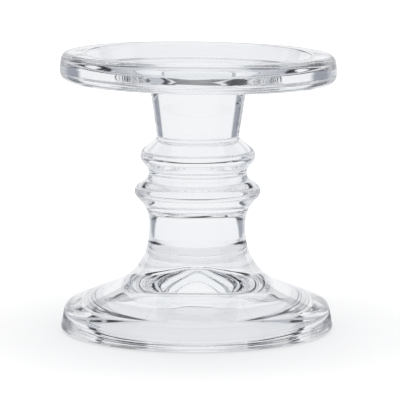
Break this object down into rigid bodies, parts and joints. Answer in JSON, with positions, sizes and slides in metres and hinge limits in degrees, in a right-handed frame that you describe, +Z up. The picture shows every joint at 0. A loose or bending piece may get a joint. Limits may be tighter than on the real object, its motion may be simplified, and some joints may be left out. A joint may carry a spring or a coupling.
{
  "type": "candlestick",
  "caption": "Clear glass pillar-candle stand: round rimmed plate on a ringed, waisted stem and a bell foot hollowed to a shallow cone underneath.",
  "frame": {"origin": "centre of the foot's resting ring, on the table plane", "axes": "+Z up along the axis of the candlestick, through the foot, stem, rings, neck and plate; X and Y lie in the table plane"},
  "size_m": [0.1006, 0.1006, 0.1012],
  "materials": {
    "clear_glass": "fire-polished, clear and nearly colourless with a trace of cool grey"
  },
  "bodies": {
    "root": {"foot": "clear_glass", "stem": "clear_glass", "lower_ring": "clear_glass", "upper_ring": "clear_glass", "neck": "clear_glass", "plate": "clear_glass"}
  },
  "joints": []
}
